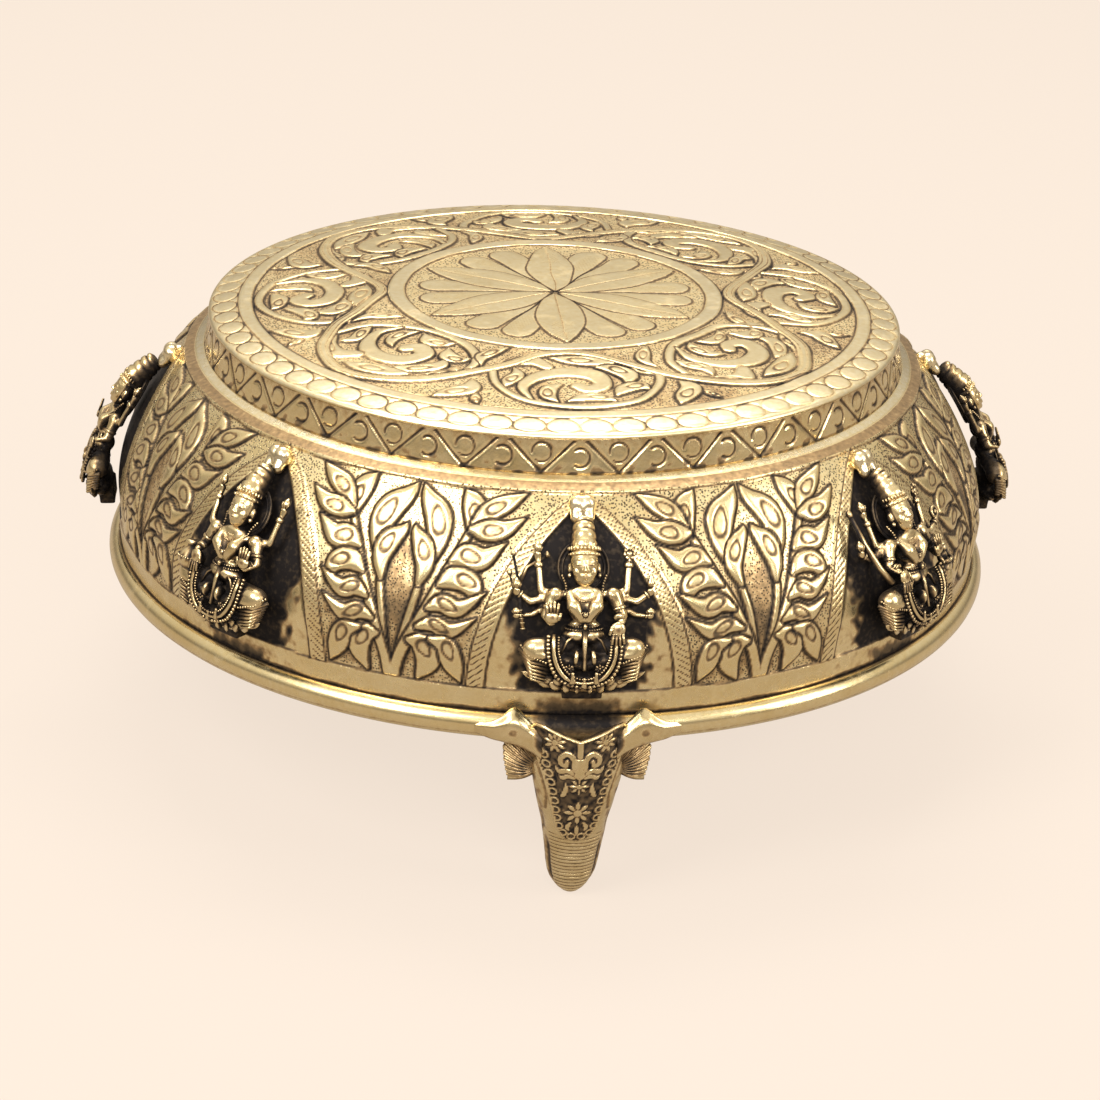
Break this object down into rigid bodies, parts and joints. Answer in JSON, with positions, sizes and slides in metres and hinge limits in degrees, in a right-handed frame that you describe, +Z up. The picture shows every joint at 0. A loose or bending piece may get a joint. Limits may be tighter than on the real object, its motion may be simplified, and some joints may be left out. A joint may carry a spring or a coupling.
{
  "type": "deity pedestal",
  "caption": "Round brass pedestal that carries an idol: engraved top, bowl-shaped body with cast seated deities in niches, rolled rim and elephant-head feet.",
  "frame": {"origin": "on the surface it stands on, below the middle of the round top", "axes": "+Z up, -Y towards the front foot and the front deity, +X to the right of someone facing the front"},
  "size_m": [0.3246, 0.3246, 0.15],
  "materials": {
    "engraved_top": "burnished brass, engraved, with brown patina left in the cuts",
    "patinated_dome": "embossed brass with near-black patina in the niches and grounds",
    "rolled_rim": "smooth burnished brass, darkened above the front foot",
    "cast_figures": "lost-wax cast brass, highlights rubbed bright, patina in the recesses",
    "cast_feet": "lost-wax cast brass, tooled, patina in the recesses"
  },
  "bodies": {
    "root": {"base_ring": "rolled_rim", "collar_ring": "engraved_top", "deity_figure_1": "cast_figures", "deity_figure_2": "cast_figures", "deity_figure_3": "cast_figures", "deity_figure_4": "cast_figures", "deity_figure_5": "cast_figures", "deity_figure_6": "cast_figures", "deity_figure_7": "cast_figures", "deity_figure_8": "cast_figures", "dome_shell": "patinated_dome", "elephant_foot_1": "cast_feet", "elephant_foot_2": "cast_feet", "elephant_foot_3": "cast_feet", "figure_hook_1": "cast_figures", "figure_hook_2": "cast_figures", "figure_hook_3": "cast_figures", "figure_hook_4": "cast_figures", "figure_hook_5": "cast_figures", "figure_hook_6": "cast_figures", "figure_hook_7": "cast_figures", "figure_hook_8": "cast_figures", "top_plate": "engraved_top"}
  },
  "joints": []
}
